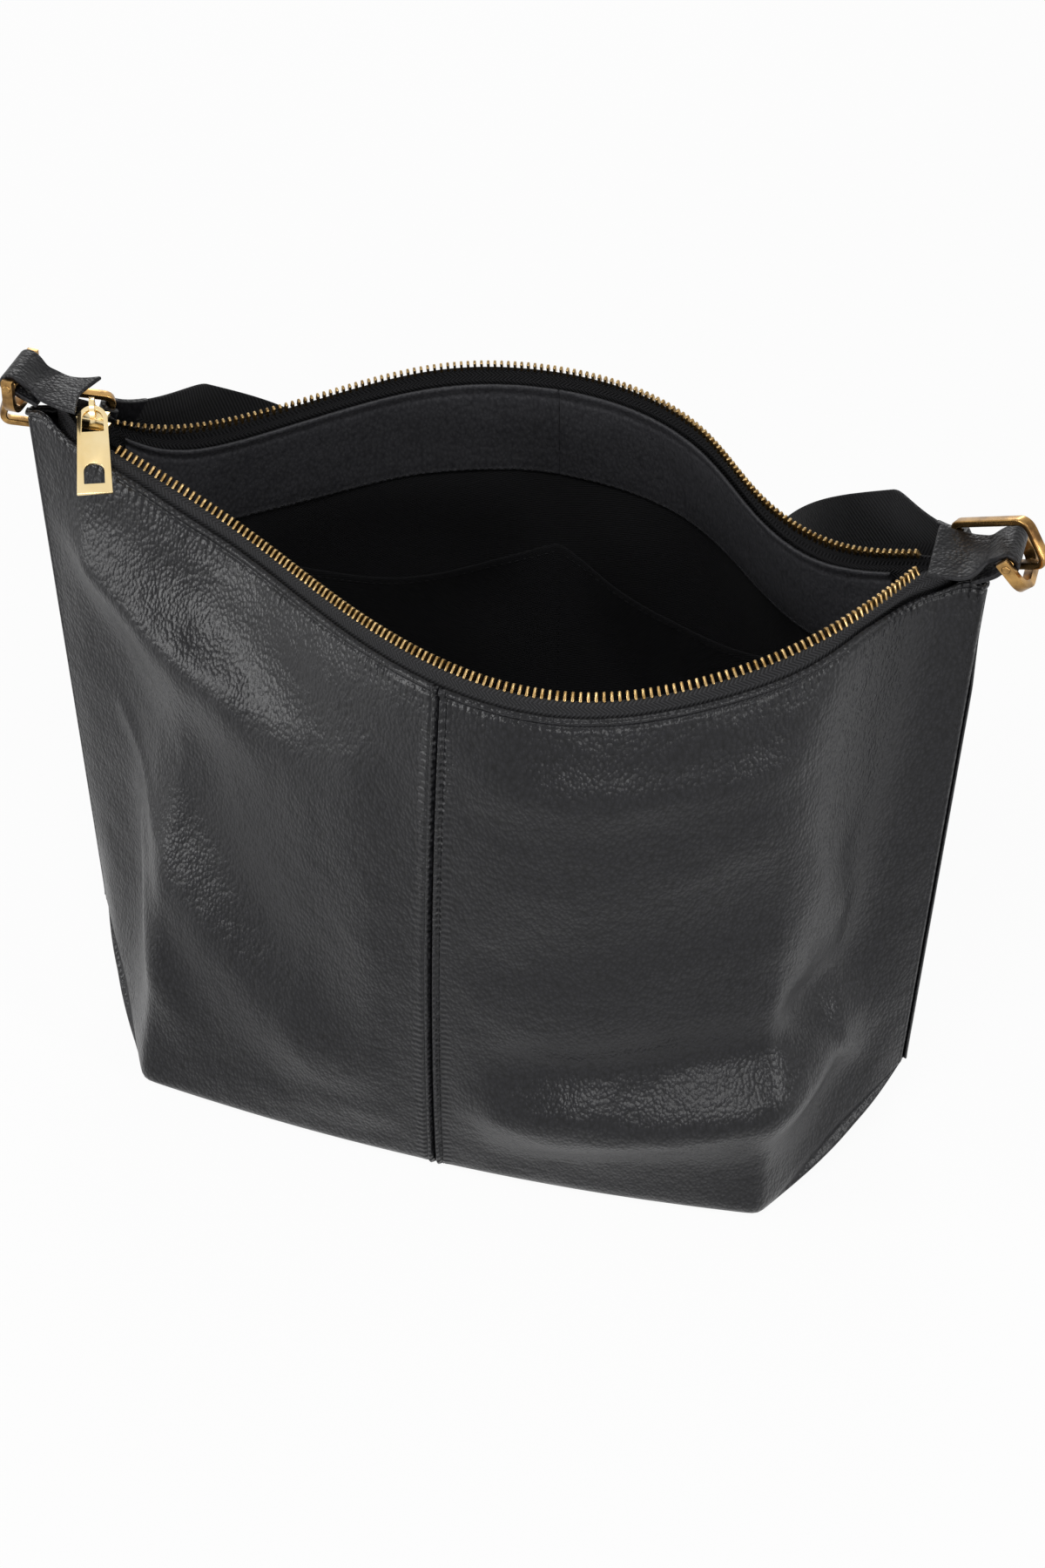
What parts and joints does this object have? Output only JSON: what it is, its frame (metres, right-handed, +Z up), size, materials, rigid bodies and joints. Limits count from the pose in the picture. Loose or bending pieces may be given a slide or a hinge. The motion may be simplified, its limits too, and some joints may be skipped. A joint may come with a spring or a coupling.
{
  "type": "hobo bag",
  "caption": "Soft black leather hobo bag with an open brass zip, boxed base corners, a slip pocket in the lining and a webbing shoulder strap linked to a leather loop at each end.",
  "frame": {"origin": "on the floor, below the middle of the whole part's box", "axes": "+X along the mouth from the slider's end to the other end, -Y the front with the bowed bottom edge, +Z up"},
  "size_m": [0.3748, 0.248, 0.2898],
  "materials": {
    "black_leather": "fine pebbled grain, soft sheen",
    "lining_cloth": "matt twill",
    "zip_tape": "matt herringbone tape",
    "zip_brass": "stamped brass teeth",
    "bright_brass": "polished",
    "antique_brass": "antiqued, half polished",
    "strap_webbing": "matt twill webbing"
  },
  "bodies": {
    "bag": {"front_left_panel": "black_leather", "front_right_panel": "black_leather", "back_left_panel": "black_leather", "back_right_panel": "black_leather", "front_left_facing": "black_leather", "front_right_facing": "black_leather", "back_left_facing": "black_leather", "back_right_facing": "black_leather", "left_end_tab": "black_leather", "right_end_tab": "black_leather", "left_chape": "black_leather", "right_chape": "black_leather", "front_lining": "lining_cloth", "back_lining": "lining_cloth", "slip_pocket": "lining_cloth", "front_zip_tape": "zip_tape", "back_zip_tape": "zip_tape", "front_zip_teeth": "zip_brass", "back_zip_teeth": "zip_brass", "left_pin": "antique_brass", "right_pin": "antique_brass", "strap_webbing": "strap_webbing"},
    "slider": {"zip_slider": "bright_brass"},
    "puller": {"zip_puller": "bright_brass"},
    "left_bow": {"left_bow": "antique_brass"},
    "right_bow": {"right_bow": "antique_brass"},
    "left_ring": {"left_link_ring": "antique_brass"},
    "right_ring": {"right_link_ring": "antique_brass"}
  },
  "joints": [
    {"name": "zip_slide", "type": "slide", "parent": "bag", "child": "slider", "axis": [1, 0, 0], "range_m": [0, 0.006]},
    {"name": "puller_hinge", "type": "hinge", "parent": "slider", "child": "puller", "pos_m": [-0.14996, -0.02737, 0.2716], "axis": [-0.9277, -0.3733, 0], "range_deg": [0, 40]},
    {"name": "left_bow_hinge", "type": "hinge", "parent": "bag", "child": "left_bow", "pos_m": [-0.17679, -0.02603, 0.281], "axis": [0, 1, 0], "range_deg": [-8, 16]},
    {"name": "right_bow_hinge", "type": "hinge", "parent": "bag", "child": "right_bow", "pos_m": [0.17421, -0.02603, 0.275], "axis": [0, 1, 0], "range_deg": [-13, 25]},
    {"name": "left_ring_hinge", "type": "hinge", "parent": "bag", "child": "left_ring", "pos_m": [-0.15335, -0.00754, 0.25636], "axis": [0.3501, 0.014, 0.9366], "range_deg": [-6.4, 3.2]},
    {"name": "right_ring_hinge", "type": "hinge", "parent": "bag", "child": "right_ring", "pos_m": [0.15691, -0.01077, 0.26339], "axis": [-0.5173, 0.1564, 0.8414], "range_deg": [-3.75, 1.95]}
  ],
  "couplings": [
    {"joint": "left_ring_hinge", "follows": "left_bow_hinge", "ratio": -0.4},
    {"joint": "right_ring_hinge", "follows": "right_bow_hinge", "ratio": -0.15}
  ]
}
